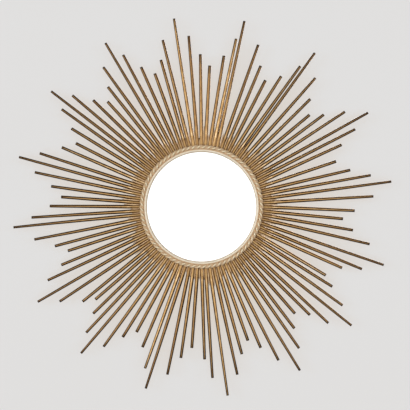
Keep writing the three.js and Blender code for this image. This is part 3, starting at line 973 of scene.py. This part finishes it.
@dataclass
class RayCrown:
    """Ninety-six tapered rods, brazed to the ring behind them, in runs of six lengths."""

    palette: Palette
    runs: int = 16
    rays_in_run: int = 6
    first_angle: float = 7.5
    sides: int = 20
    root_radius: float = 0.0033
    widest_from_root: float = 0.030
    long_tip_radius: float = 0.0022
    edge: float = 0.0003
    dimple_inset: float = 0.35
    dimple_depth: float = 0.4
    bend_cuts: tuple[float, ...] = (0.25, 0.45, 0.65, 0.85)
    bow: float = 0.9
    tone_middle: float = 0.5
    tone_spread: float = 0.22
    # Rays painted bright along their length, a painted highlight where they catch the light.
    glint: tuple[int, ...] = (19, 24, 65, 72, 88)
    glint_tone: float = 0.3
    braze_start: float = 0.004
    braze_reach: Point = (0.013, 0.042)
    braze_width: float = 0.0030
    braze_thickness: float = 0.0028
    rng: random.Random = field(default_factory=lambda: random.Random(96))

    def __post_init__(self) -> None:
        """Read the rods' places and greatest thickness from the frame."""
        self.count = self.runs * self.rays_in_run
        low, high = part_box(self.node_of(0))
        self.depth = -(low.y + high.y) / 2
        self.widest_radius = (high.y - low.y) / 2
        self.root_circle = inner_radius(self.node_of(0))
        self.long_length = outer_radius(self.node_of(0)) - self.root_circle
        self.masters: dict[int, bpy.types.Object] = {}

    def node_of(self, ray: int) -> str:
        """Name the CAD node that holds a ray.

        Args:
            ray: The ray's number, anticlockwise.

        Returns:
            The node's name.
        """
        place = (ray + 1) % self.count
        run, step = divmod(place, self.rays_in_run)
        kind = "long" if step < self.rays_in_run // 2 else "short"
        return f"{kind}_ray_trio_{run + 1:02d}"

    def radius_at(self, distance: float) -> float:
        """Give a rod's radius at a distance from its root."""
        share = (distance - self.widest_from_root) / (self.long_length - self.widest_from_root)
        return self.widest_radius + share * (self.long_tip_radius - self.widest_radius)

    def tips(self, node: str) -> list[Vector]:
        """Find the tips of the rods in a CAD node.

        Args:
            node: The node's name.

        Returns:
            The middle of each rod's end face, anticlockwise from the first.
        """
        beyond_roots = 1.5 * self.root_circle
        end_width = 2.1 * self.widest_radius
        groups: list[list[Vector]] = []
        for point in points_of(node):
            if from_axis(point) < beyond_roots:
                continue
            near = [group for group in groups if (group[0] - point).length < end_width]
            if near:
                near[0].append(point)
            else:
                groups.append([point])
        middles = []
        for group in groups:
            corners = {tuple(round(number, 6) for number in point) for point in group}
            middles.append(sum((Vector(corner) for corner in corners), Vector()) / len(corners))
        reference = sum(middles, Vector())
        bearing = math.atan2(reference.z, reference.x)
        return sorted(middles, key=lambda tip: (math.atan2(tip.z, tip.x) - bearing + math.pi) % FULL_TURN)

    def master(self, length: float) -> bpy.types.Object:
        """Model a rod of one length, standing on the origin.

        Args:
            length: Its length.

        Returns:
            The rod, with its marks for the finish.
        """
        key = round(length / MILLIMETRE)
        if key in self.masters:
            return self.masters[key]
        Bench.clear()
        bpy.ops.mesh.primitive_cone_add(
            vertices=self.sides,
            radius1=self.root_radius,
            radius2=self.widest_radius,
            depth=self.widest_from_root,
            location=(0.0, 0.0, self.widest_from_root / 2),
        )
        rod = bpy.context.object
        rod.name = f"rod_blank_{key}"
        Bench.seat(rod)
        tip_radius = self.radius_at(length)
        shrink = tip_radius / self.widest_radius
        with Bench.editing(rod, "FACE"):
            Bench.pick(rod, lambda point: point.z > self.widest_from_root - Bench.WELD, "FACE")
            bpy.ops.mesh.extrude_region_move(
                TRANSFORM_OT_translate={"value": (0.0, 0.0, length - self.widest_from_root)}
            )
            bpy.ops.transform.resize(value=(shrink, shrink, 1.0))
            Bench.pick(rod, lambda point: abs(point.z - length) < Bench.WELD, "EDGE")
            bpy.ops.mesh.bevel(offset=self.edge, segments=2, affect="EDGES")
            for share in self.bend_cuts:
                bpy.ops.mesh.select_all(action="SELECT")
                bpy.ops.mesh.bisect(plane_co=(0.0, 0.0, length * share), plane_no=(0.0, 0.0, 1.0))
            Bench.pick(rod, lambda point: point.z > length - Bench.WELD, "FACE")
            bpy.ops.mesh.inset(thickness=self.edge * 2)
            dimple = -self.edge * self.dimple_depth
            bpy.ops.mesh.inset(thickness=tip_radius * self.dimple_inset, depth=dimple)
        Bench.smooth(rod, 40.0)
        points = [corner.co.copy() for corner in rod.data.vertices]
        set_attribute(rod, "from_tip", [length - point.z for point in points])
        layer = rod.data.attributes.new("drawn", "FLOAT_VECTOR", "POINT")
        layer.data.foreach_set("vector", [number for point in points for number in point])
        self.masters[key] = rod
        return rod

    def ray(self, ray: int, tip: Vector) -> None:
        """Place one rod.

        Args:
            ray: Its number, anticlockwise.
            tip: Where its end is.
        """
        angle = math.radians(self.first_angle + ray * 360 / self.count)
        root = Vector((self.root_circle * math.cos(angle), -self.depth, self.root_circle * math.sin(angle)))
        along = tip - root
        rod = Bench.copy(self.master(along.length), f"ray_{ray + 1:02d}")
        Bench.modify(
            rod,
            "SIMPLE_DEFORM",
            deform_method="BEND",
            deform_axis="X" if ray % 2 else "Y",
            angle=math.radians(self.rng.uniform(-self.bow, self.bow)),
        )
        top = max((point.co for point in rod.data.vertices), key=lambda place: place.z)
        foot = [point.co for point in rod.data.vertices if abs(point.co.z) < self.edge]
        base = sum(foot, Vector()) / len(foot)
        leaning = Vector((0.0, 0.0, top.z)) - base
        straighten = leaning.rotation_difference(along).to_matrix().to_4x4()
        spin = Matrix.Rotation(self.rng.uniform(0.0, FULL_TURN), 4, "Z")
        rod.data.transform(Matrix.Translation(root) @ straighten @ spin @ Matrix.Translation(-base))
        # Painted highlight on the glinting rays: a lighter tone and the glint mark.
        glint = float(ray in self.glint)
        tone = self.rng.gauss(self.tone_middle, self.tone_spread) + self.glint_tone * glint
        corners = rod.data.vertices
        set_attribute(rod, "glint", [glint] * len(corners))
        set_attribute(rod, "tone", [tone] * len(corners))
        # The front mark, how squarely each point faces front or back, places the painted highlight and the
        # painted shade on the rod's sides.
        set_attribute(rod, "front", [abs(corner.normal.y) for corner in corners])
        Bench.install(rod, self.palette.ray, Slot.RAY, [self.node_of(ray)])

    def braze(self) -> None:
        """Run braze in between the rods where they lie on the rear ring, in some places further out."""
        start = self.root_circle + self.braze_start
        half_thickness, half_width = self.braze_thickness / 2, self.braze_width / 2
        Bench.clear()
        bpy.ops.mesh.primitive_uv_sphere_add(segments=12, ring_count=8, radius=1.0)
        master = bpy.context.object
        Bench.smooth(master, 80.0)
        webs = []
        for ray in range(self.count):
            angle = math.radians(self.first_angle + (ray + 0.5) * 360 / self.count)
            end = start + self.rng.uniform(*self.braze_reach)
            web = Bench.copy(master, f"web_{ray}")
            stretch = Matrix.Diagonal(((end - start) / 2, half_thickness, half_width, 1.0))
            middle = (start + end) / 2
            place = Matrix.Translation((middle * math.cos(angle), -self.depth, middle * math.sin(angle)))
            web.data.transform(place @ Matrix.Rotation(-angle, 4, "Y") @ stretch)
            webs.append(web)
        Bench.discard(master)
        Bench.install(Bench.join("braze_webs", *webs), self.palette.brass, Slot.RIM)

    def build(self) -> None:
        """Make every ray and the braze that holds them."""
        for ray in range(self.count):
            trio = self.tips(self.node_of(ray))
            self.ray(ray, trio[(ray + 1) % (self.rays_in_run // 2)])
        Bench.discard(*self.masters.values())
        self.braze()


# ---- Rings round the glass -----------------------------------------------------------------------


@dataclass
class RopeRing:
    """Two wires twisted together and bent to a ring on top of the rays."""

    palette: Palette
    turns: int = 36
    steps_in_turn: int = 16
    wire_sides: int = 16
    wire_share: float = 0.585
    highlight_lean: float = 10.0
    seam: float = 0.0026
    seam_sides: int = 12
    seam_steps: int = 144
    highlight_from: float = 0.68
    highlight_to: float = 0.92

    def build(self) -> None:
        """Twist a straight pair of wires, bend it round and seat it."""
        rear, front = depths("rope_ring")
        thickness = (front - rear) / 2
        circle = outer_radius("rope_ring") - thickness
        wire = thickness * self.wire_share
        length = FULL_TURN * circle
        steps = self.turns * self.steps_in_turn
        step_length = length / steps
        strands = []
        for side in (-1.0, 1.0):
            Bench.clear()
            bpy.ops.mesh.primitive_cylinder_add(
                vertices=self.wire_sides,
                radius=wire,
                depth=step_length,
                end_fill_type="NOTHING",
                rotation=(0.0, math.pi / 2, 0.0),
                location=(step_length / 2, side * (thickness - wire), 0.0),
            )
            strand = bpy.context.object
            Bench.seat(strand)
            Bench.modify(
                strand,
                "ARRAY",
                count=steps,
                use_relative_offset=False,
                use_constant_offset=True,
                constant_offset_displace=(step_length, 0.0, 0.0),
                use_merge_vertices=True,
                merge_threshold=Bench.WELD * 10,
            )
            strands.append(strand)
        rope = Bench.join("rope_ring_twisted", *strands)
        right_hand = -self.turns * FULL_TURN
        Bench.modify(rope, "SIMPLE_DEFORM", deform_method="TWIST", deform_axis="X", angle=right_hand)
        Bench.modify(rope, "SIMPLE_DEFORM", deform_method="BEND", deform_axis="Z", angle=FULL_TURN)
        rope.data.transform(
            Matrix.Translation((0.0, -(rear + front) / 2, 0.0))
            @ Matrix.Rotation(math.pi / 2, 4, "X")
            @ Matrix.Translation((0.0, -circle, 0.0))
        )
        Bench.settle(rope)
        Bench.smooth(rope, 60.0)
        # Painted highlight: the crest mark is high where a strand faces front, tilted by a small lean, and
        # the finish paints it pale.
        lean = math.radians(self.highlight_lean)
        middle = (rear + front) / 2
        crest_highlight = []
        for corner in rope.data.vertices:
            outwards = from_axis(corner.co) - circle
            forwards = -corner.co.y - middle
            reach = (forwards * math.cos(lean) - outwards * math.sin(lean)) / thickness
            crest_highlight.append(max(0.0, min(1.0, (reach - self.highlight_from) / (self.highlight_to - self.highlight_from))))
        set_attribute(rope, "crest", crest_highlight)
        Bench.install(rope, self.palette.rope, Slot.ROPE, ["rope_ring"])
        self.solder(circle - thickness, depths("bezel_ring")[0])

    def solder(self, radius: float, depth: float) -> None:
        """Run solder round between the rope and the bezel.

        Args:
            radius: Radius of the rope's inner side.
            depth: Depth of the bezel's rear.
        """
        section = arc((radius, depth), self.seam / 2, 0.0, 360.0, self.seam_sides)
        seam = Bench.turned("solder_seam", section, self.seam_steps)
        Bench.smooth(seam, 80.0)
        Bench.install(seam, self.palette.rope, Slot.ROPE)


@dataclass
class BezelRing:
    """Smooth ring that holds the glass from the front."""

    palette: Palette
    steps: int = 192
    lip: float = 0.0004
    shoulder_share: float = 0.68
    fillet: Point = (0.5, 0.4)
    round_steps: int = 14
    least_highlight: float = 0.1
    highlight_curve: float = 0.7

    def build(self) -> None:
        """Turn the half-round section with a fine fillet line on each side of it."""
        rear, front = depths("bezel_ring")
        inside, outside = inner_radius("bezel_ring"), outer_radius("bezel_ring")
        half = (outside - inside) / 2 - self.lip
        shoulder = rear + (front - rear) * self.shoulder_share
        crown = front - shoulder
        middle = (inside + outside) / 2
        over, under = (self.lip * share for share in self.fillet)
        half_circle = arc((0.0, 0.0), 1.0, 0.0, 180.0, self.round_steps)
        profile = [
            (outside, rear),
            (outside, shoulder - self.lip),
            (outside - over, shoulder - under),
            *((middle + x * half, shoulder + y * crown) for x, y in half_circle),
            (inside + over, shoulder - under),
            (inside, shoulder - self.lip),
            (inside, rear),
            (outside, rear),
        ]
        ring = Bench.turned("bezel_ring_smooth", profile, self.steps)
        # Painted highlight: the crest mark rises towards the front of the crown, so the finish paints the
        # crown pale and its sides browner.
        heights = [max(0.0, min(1.0, (-corner.co.y - shoulder) / crown)) for corner in ring.data.vertices]
        least, span = self.least_highlight, 1.0 - self.least_highlight
        set_attribute(ring, "crest", [least + span * height**self.highlight_curve for height in heights])
        Bench.smooth(ring, 50.0)
        Bench.install(ring, self.palette.bezel, Slot.BEZEL, ["bezel_ring"])


@dataclass
class Rim:
    """The band round the glass and the flat ring behind the rays."""

    palette: Palette
    steps: int = 160
    bevel: float = 0.0003

    def ring(self, name: str, node: str) -> bpy.types.Object:
        """Turn a ring of square section with broken edges.

        Args:
            name: Name of the piece.
            node: CAD node that gives its size.

        Returns:
            The ring.
        """
        rear, front = depths(node)
        inside, outside = inner_radius(node), outer_radius(node)
        edge = self.bevel
        profile = [
            (inside, rear + edge), (inside + edge, rear), (outside - edge, rear), (outside, rear + edge),
            (outside, front - edge), (outside - edge, front), (inside + edge, front), (inside, front - edge),
            (inside, rear + edge),
        ]
        piece = Bench.turned(name, profile, self.steps)
        Bench.smooth(piece, 35.0)
        return piece

    def build(self) -> None:
        """Make both rings."""
        for name, node in (("rim_band_rolled", "rim_band"), ("rear_ring_flat", "rear_ring")):
            Bench.install(self.ring(name, node), self.palette.brass, Slot.RIM, [node])


@dataclass
class Glazing:
    """The convex glass, and the packing and card behind it."""

    palette: Palette
    steps: int = 160
    rings: int = 20
    rim_share: float = 0.999
    ground_edge: float = 0.0004

    def build(self) -> None:
        """Turn the glass and dress what lies behind it."""
        crown = depths("mirror_glass")[1]
        radius = outer_radius("mirror_glass")
        rim = [point for point in points_of("mirror_glass") if from_axis(point) > radius * self.rim_share]
        rim_front, rim_rear = -min(point.y for point in rim), -max(point.y for point in rim)
        rise = crown - rim_front
        curve = (radius**2 + rise**2) / (2 * rise)
        drop = curve - rise
        edge = self.ground_edge

        def face(distance: float) -> float:
            """Give the depth of the convex face at a distance from the axis."""
            return rim_front + math.sqrt(curve**2 - distance**2) - drop

        thickness = rim_front - rim_rear
        radii = [(radius - edge) * step / self.rings for step in range(self.rings + 1)]
        front_points = [(distance, face(distance)) for distance in radii]
        rear_points = [(distance, face(distance) - thickness) for distance in reversed(radii)]
        ground = [(radius, rim_front - edge), (radius, rim_rear + edge)]
        glass = Bench.turned("mirror_glass_convex", [*front_points, *ground, *rear_points], self.steps)
        Bench.smooth(glass, 30.0)
        Bench.install(glass, self.palette.glass, Slot.GLASS, ["mirror_glass"])
        Bench.dress(frame["nodes"]["packing_ring"], self.palette.felt)
        Bench.dress(frame["nodes"]["backing_card"], self.palette.card)


# ---- Back ----------------------------------------------------------------------------------------


@dataclass
class Back:
    """The hardboard back, its four countersunk screws and the lugs that take them."""

    palette: Palette
    lugs: int = 4
    steps: int = 160
    bevel: float = 0.0004
    head_radius: float = 0.004
    head_rim: float = 0.0002
    shank_radius: float = 0.002
    shank_end: float = 0.0006
    screw_steps: int = 40
    slot_width: float = 0.001
    slot_depth: float = 0.0009
    first_turn: float = 0.6
    turn_step: float = 1.1
    clearance: float = 0.0003
    sink_flare: float = 0.001
    sink_height: float = 0.003
    sink_depth: float = 0.0005
    bore_length: float = 0.02
    bore_depth: float = 0.002

    def screw_place(self, lug: int) -> Vector:
        """Give the middle of a screw on the wall side."""
        low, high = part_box(f"back_screw_{lug + 1:02d}")
        return Vector(((low.x + high.x) / 2, high.y, (low.z + high.z) / 2))

    def board(self) -> None:
        """Turn the board and countersink its screw holes."""
        rear, front = depths("back_board")
        radius = outer_radius("back_board")
        edge = self.bevel
        profile = [
            (0.0, rear), (radius - edge, rear), (radius, rear + edge), (radius, front - edge),
            (radius - edge, front), (0.0, front),
        ]
        board = Bench.turned("back_board_pressed", profile, self.steps)
        for lug in range(self.lugs):
            self.countersink(board, self.screw_place(lug))
        Bench.smooth(board, 30.0)
        Bench.install(board, self.palette.board, Slot.BOARD, ["back_board"])

    def countersink(self, board: bpy.types.Object, middle: Vector) -> None:
        """Bore and countersink one screw hole.

        Args:
            board: The board.
            middle: Middle of the screw on the wall side.
        """
        bore = self.shank_radius + self.clearance
        Bench.clear()
        bpy.ops.mesh.primitive_cone_add(
            vertices=self.screw_steps,
            radius1=bore,
            radius2=self.head_radius + self.clearance + self.sink_flare,
            depth=self.sink_height,
            rotation=(-math.pi / 2, 0.0, 0.0),
            location=(middle.x, -self.sink_depth, middle.z),
        )
        sink = bpy.context.object
        Bench.seat(sink)
        Bench.cut(board, sink)
        Bench.clear()
        bpy.ops.mesh.primitive_cylinder_add(
            vertices=self.screw_steps,
            radius=bore,
            depth=self.bore_length,
            rotation=(math.pi / 2, 0.0, 0.0),
            location=(middle.x, -self.bore_depth, middle.z),
        )
        drill = bpy.context.object
        Bench.seat(drill)
        Bench.cut(board, drill)

    def screw(self) -> bpy.types.Object:
        """Model one countersunk screw with its head's rim on the origin's plane.

        Returns:
            The screw, pointing along -Y.
        """
        low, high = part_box("back_screw_01")
        length = high.y - low.y
        head, shank = self.head_radius, self.shank_radius
        profile = [
            (0.0, 0.0),
            (head - self.head_rim, 0.0),
            (head, self.head_rim),
            (shank, head - shank),
            (shank, length - self.shank_end),
            (shank - self.shank_end, length),
            (0.0, length),
        ]
        screw = Bench.turned("screw_blank", profile, self.screw_steps)
        Bench.cut(screw, Bench.block((self.slot_width, self.slot_depth * 2, head * 3), (0.0, 0.0, 0.0)))
        Bench.smooth(screw, 30.0)
        return screw

    def build(self) -> None:
        """Make the board and the screws, and dress the lugs."""
        self.board()
        blank = self.screw()
        for lug in range(self.lugs):
            screw = Bench.copy(blank, f"back_screw_slotted_{lug + 1:02d}")
            turn = Matrix.Rotation(self.first_turn + self.turn_step * lug, 4, "Y")
            screw.data.transform(Matrix.Translation(self.screw_place(lug)) @ turn)
            Bench.install(screw, self.palette.steel, Slot.STEEL, [f"back_screw_{lug + 1:02d}"])
            Bench.dress(frame["nodes"][f"band_lug_{lug + 1:02d}"], self.palette.brass)
        Bench.discard(blank)


# ---- Hanger --------------------------------------------------------------------------------------


@dataclass
class Hanger:
    """The riveted strap with its rolled eye, and the wire loop that swings in it."""

    palette: Palette
    strap_thickness: float = 0.0014
    foot_width: float = 0.040
    foot_height: float = 0.010
    tongue_width: float = 0.014
    eye_radius: float = 0.0032
    eye_bore: float = 0.0019
    wire_radius: float = 0.0015
    corner_radius: float = 0.003
    rivet_dome: float = 0.0012
    bevel: float = 0.00025
    sharp_angle: float = 50.0
    round_steps: int = 48
    corner_steps: int = 8
    bow_steps: int = 28

    def __post_init__(self) -> None:
        """Read where the eye is from the joint."""
        joint = next(joint for joint in frame["joints"] if joint["name"] == "loop_swing")
        self.eye = Vector(joint["pos_m"])
        self.rear = -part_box("hanger_strap")[0].y - self.strap_thickness
        self.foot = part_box("hanger_strap")[0].z + self.foot_height / 2

    def plate(self, width: float, low: float, high: float) -> bpy.types.Object:
        """Add a flat piece of the strap.

        Args:
            width: Its width.
            low: Its lowest level.
            high: Its highest level.

        Returns:
            The plate.
        """
        middle = (0.0, -self.rear - self.strap_thickness / 2, (low + high) / 2)
        return Bench.block((width, self.strap_thickness, high - low), middle)

    def barrel(self, radius: float, length: float) -> bpy.types.Object:
        """Add a bar along the eye's axis.

        Args:
            radius: Its radius.
            length: Its length.

        Returns:
            The bar.
        """
        Bench.clear()
        bpy.ops.mesh.primitive_cylinder_add(
            vertices=self.round_steps,
            radius=radius,
            depth=length,
            rotation=(0.0, math.pi / 2, 0.0),
            location=self.eye,
        )
        bar = bpy.context.object
        Bench.seat(bar)
        return bar

    def strap(self) -> None:
        """Join foot, tongue and eye, and bore the eye."""
        half_height = self.foot_height / 2
        strap = self.plate(self.foot_width, self.foot - half_height, self.foot + half_height)
        with Bench.editing(strap, "EDGE"):
            Bench.pick(strap, lambda point: abs(point.x) > self.foot_width / 2 - Bench.WELD, "EDGE")
            shape = bmesh.from_edit_mesh(strap.data)
            for edge in shape.edges:
                edge.select_set(edge.select and abs(edge.verts[0].co.y - edge.verts[1].co.y) > Bench.WELD)
            shape.select_flush_mode()
            bmesh.update_edit_mesh(strap.data)
            bpy.ops.mesh.bevel(offset=self.corner_radius, segments=6, affect="EDGES")
        for part in (
            self.plate(self.tongue_width, self.foot, self.eye.z),
            self.barrel(self.eye_radius, self.tongue_width),
        ):
            Bench.modify(strap, "BOOLEAN", operation="UNION", solver="EXACT", object=part)
            Bench.discard(part)
        Bench.cut(strap, self.barrel(self.eye_bore, self.tongue_width * 1.5))
        sharp = math.radians(self.sharp_angle)
        Bench.modify(strap, "BEVEL", width=self.bevel, segments=2, limit_method="ANGLE", angle_limit=sharp)
        strap.name = "hanger_strap_rolled"
        Bench.smooth(strap, 35.0)
        Bench.install(strap, self.palette.hanger, Slot.HANGER, ["hanger_strap"])

    def rivets(self) -> None:
        """Set the two round-headed rivets."""
        for side in ("left", "right"):
            low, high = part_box(f"hanger_rivet_{side}")
            radius = (high.x - low.x) / 2
            length = high.y - low.y
            quarter_circle = arc((0.0, 0.0), 1.0, 90.0, 0.0, self.corner_steps)
            profile = [
                (0.0, 0.0),
                *((radius * x, self.rivet_dome * (1.0 - y)) for x, y in quarter_circle[1:]),
                (self.wire_radius, self.rivet_dome),
                (self.wire_radius, length),
                (0.0, length),
            ]
            rivet = Bench.turned(f"hanger_rivet_{side}_domed", profile, 32)
            rivet.data.transform(Matrix.Translation(((low.x + high.x) / 2, high.y, (low.z + high.z) / 2)))
            Bench.smooth(rivet, 40.0)
            Bench.install(rivet, self.palette.hanger, Slot.HANGER, [f"hanger_rivet_{side}"])

    def loop(self) -> None:
        """Bend the wire loop round a path of straights and arcs."""
        low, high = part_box("hanging_loop")
        half = (high.x - low.x) / 2 - self.wire_radius
        drop = self.eye.z - low.z - self.wire_radius
        corner = self.corner_radius
        path = [
            *arc((half - corner, -corner), corner, 90.0, 0.0, self.corner_steps),
            *arc((0.0, half - drop), half, 0.0, -180.0, self.bow_steps),
            *arc((corner - half, -corner), corner, 180.0, 90.0, self.corner_steps),
        ]
        curve = bpy.data.curves.new("hanging_loop_wire", "CURVE")
        curve.dimensions = "3D"
        curve.bevel_depth = self.wire_radius
        curve.bevel_resolution = 5
        spline = curve.splines.new("POLY")
        spline.points.add(len(path) - 1)
        for point, (x, z) in zip(spline.points, path):
            point.co = (self.eye.x + x, self.eye.y, self.eye.z + z, 1.0)
        spline.use_cyclic_u = True
        loop = bpy.data.objects.new("hanging_loop_wire", curve)
        bpy.context.scene.collection.objects.link(loop)
        Bench.choose(loop)
        bpy.ops.object.convert(target="MESH")
        loop = bpy.context.object
        Bench.settle(loop)
        Bench.smooth(loop, 60.0)
        Bench.install(loop, self.palette.hanger, Slot.HANGER, ["hanging_loop"], Body.LOOP)

    def build(self) -> None:
        """Make the strap, its rivets and the loop."""
        self.strap()
        self.rivets()
        self.loop()


# ---- Studio --------------------------------------------------------------------------------------


@dataclass(frozen=True)
class Lamp:
    """A square soft lamp that faces the mirror."""

    name: str
    place: Place
    size: float
    watts: float

    def hang(self) -> None:
        """Hang the lamp in its place."""
        light = bpy.data.lights.new(self.name, "AREA")
        light.shape = "SQUARE"
        light.size = self.size
        light.energy = self.watts
        lamp = bpy.data.objects.new(self.name, light)
        lamp.location = self.place
        lamp.rotation_mode = "QUATERNION"
        lamp.rotation_quaternion = (-Vector(self.place)).to_track_quat("-Z", "Y")
        bpy.context.scene.collection.objects.link(lamp)


@dataclass
class Studio:
    """Pale wall and floor, soft light, and a camera where the photograph was taken from."""

    # Painted reflection: the glow is warm and the paint bluish, so the wall is neutral where lit and beige
    # where shaded, standing in for the warm light the gilt rods throw on it.
    wall: PlasterFinish = PlasterFinish(
        name="wall_paint", paint=(0.135, 0.25, 0.37), glow=(0.645, 0.548, 0.448), one_sided=True
    )
    wall_gap: float = 0.0008
    wall_size: float = 12.0
    floor: PlasterFinish = PlasterFinish(
        name="floor_paint", paint=(0.12, 0.12, 0.12), glow=(0.66, 0.66, 0.655)
    )
    floor_level: float = -1.25
    floor_size: float = 40.0
    picture_width: float = 0.7536
    camera_distance: float = 2.7
    camera_yaw: float = 2.5
    sensor: float = 36.0
    aim: Place = (0.0062, -0.018, 0.0033)
    sky_places: tuple[float, ...] = (0.03, 0.12, 0.30, 0.72, 0.84, 0.90, 0.94, 0.955)
    sky_greys: tuple[float, ...] = (0.42, 0.16, 0.015, 0.015, 0.08, 0.40, 0.95, 1.0)
    sky_strength: float = 1.5
    window: Place = (-0.66, -0.74, 0.13)
    window_spread: Point = (0.86, 0.97)
    window_grey: float = 0.8
    haze: Colour = (0.77, 0.77, 0.765)
    lamps: tuple[Lamp, ...] = (
        Lamp("lamp_left", place=(-2.4, -2.1, 0.42), size=1.3, watts=12.0),
        Lamp("lamp_right", place=(2.4, -2.1, 0.34), size=1.3, watts=12.0),
        Lamp("lamp_behind", place=(0.5, 2.4, 0.6), size=1.2, watts=30.0),
    )

    def plane(self, name: str, size: float, place: Vector, upright: bool, finish: PlasterFinish) -> None:
        """Put up one plane of the room, which no light or reflection meets.

        Args:
            name: Its name.
            size: Its side.
            place: Its middle.
            upright: True for the wall, which faces -Y.
            finish: Its paint.
        """
        Bench.clear()
        tilt = math.pi / 2 if upright else 0.0
        bpy.ops.mesh.primitive_plane_add(size=size, rotation=(tilt, 0.0, 0.0), location=place)
        plane = bpy.context.object
        plane.name = name
        Bench.dress(plane, finish.material())
        for ray_kind in ("diffuse", "glossy", "transmission", "shadow"):
            setattr(plane, f"visible_{ray_kind}", False)

    def backdrop(self) -> None:
        """Put up the wall, which is seen from its front only, and lay the floor."""
        middle = Vector((0.0, self.wall_gap, self.floor_level + self.wall_size / 2))
        self.plane("wall", self.wall_size, middle, True, self.wall)
        self.plane("floor", self.floor_size, Vector((0.0, 0.0, self.floor_level)), False, self.floor)

    def world(self) -> None:
        """Light the mirror from all round: bright in front and at a window on its left, dark beside it."""
        world = bpy.data.worlds.new("soft_studio")
        bpy.context.scene.world = world
        world.use_nodes = True
        sheet = NodeSheet(world.node_tree)
        direction = sheet.add("ShaderNodeTexCoord").outputs["Generated"]
        parts = sheet.add("ShaderNodeSeparateXYZ")
        sheet.wire(direction, parts.inputs["Vector"])
        forwards = sheet.remap(parts.outputs["Y"], (1.0, -1.0), (0.0, 1.0))
        sky = sheet.ramp(forwards, self.sky_places, *((grey, grey, grey) for grey in self.sky_greys))
        facing = sheet.add("ShaderNodeVectorMath", operation="DOT_PRODUCT")
        facing.inputs[1].default_value = Vector(self.window).normalized()
        sheet.wire(direction, facing.inputs[0])
        pane = sheet.remap(facing.outputs["Value"], self.window_spread, (0.0, self.window_grey))
        light = sheet.add("ShaderNodeBackground")
        light.inputs["Strength"].default_value = self.sky_strength
        sheet.wire(sheet.combine("MAXIMUM", sky, pane), light.inputs["Color"])
        backdrop = sheet.add("ShaderNodeBackground")
        backdrop.inputs["Color"].default_value = (*self.haze, 1.0)
        choice = sheet.add("ShaderNodeMixShader")
        sheet.wire(sheet.add("ShaderNodeLightPath").outputs["Is Camera Ray"], choice.inputs["Fac"])
        sheet.wire(light.outputs["Background"], choice.inputs[1])
        sheet.wire(backdrop.outputs["Background"], choice.inputs[2])
        output = sheet.add("ShaderNodeOutputWorld")
        sheet.wire(choice.outputs["Shader"], output.inputs["Surface"])

    def camera(self) -> None:
        """Set the camera straight in front of the mirror, a little to its right."""
        data = bpy.data.cameras.new("camera")
        data.sensor_width = self.sensor
        data.lens = self.sensor * self.camera_distance / self.picture_width
        camera = bpy.data.objects.new("camera", data)
        yaw = math.radians(self.camera_yaw)
        aim = Vector(self.aim)
        camera.location = aim + self.camera_distance * Vector((math.sin(yaw), -math.cos(yaw), 0.0))
        camera.rotation_mode = "QUATERNION"
        camera.rotation_quaternion = (aim - camera.location).to_track_quat("-Z", "Y")
        bpy.context.scene.collection.objects.link(camera)
        bpy.context.scene.camera = camera

    def build(self) -> None:
        """Set up the whole studio."""
        bpy.context.scene.view_settings.view_transform = "Standard"
        self.backdrop()
        self.world()
        for lamp in self.lamps:
            lamp.hang()
        self.camera()


def main() -> None:
    """Build the studio and every sub-assembly."""
    logging.basicConfig(level=logging.INFO, format="%(name)s: %(message)s")
    Studio().build()
    palette = Palette()
    for assembly in (
        RayCrown(palette),
        Rim(palette),
        RopeRing(palette),
        BezelRing(palette),
        Glazing(palette),
        Back(palette),
        Hanger(palette),
    ):
        assembly.build()


if __name__ == "__main__":
    main()
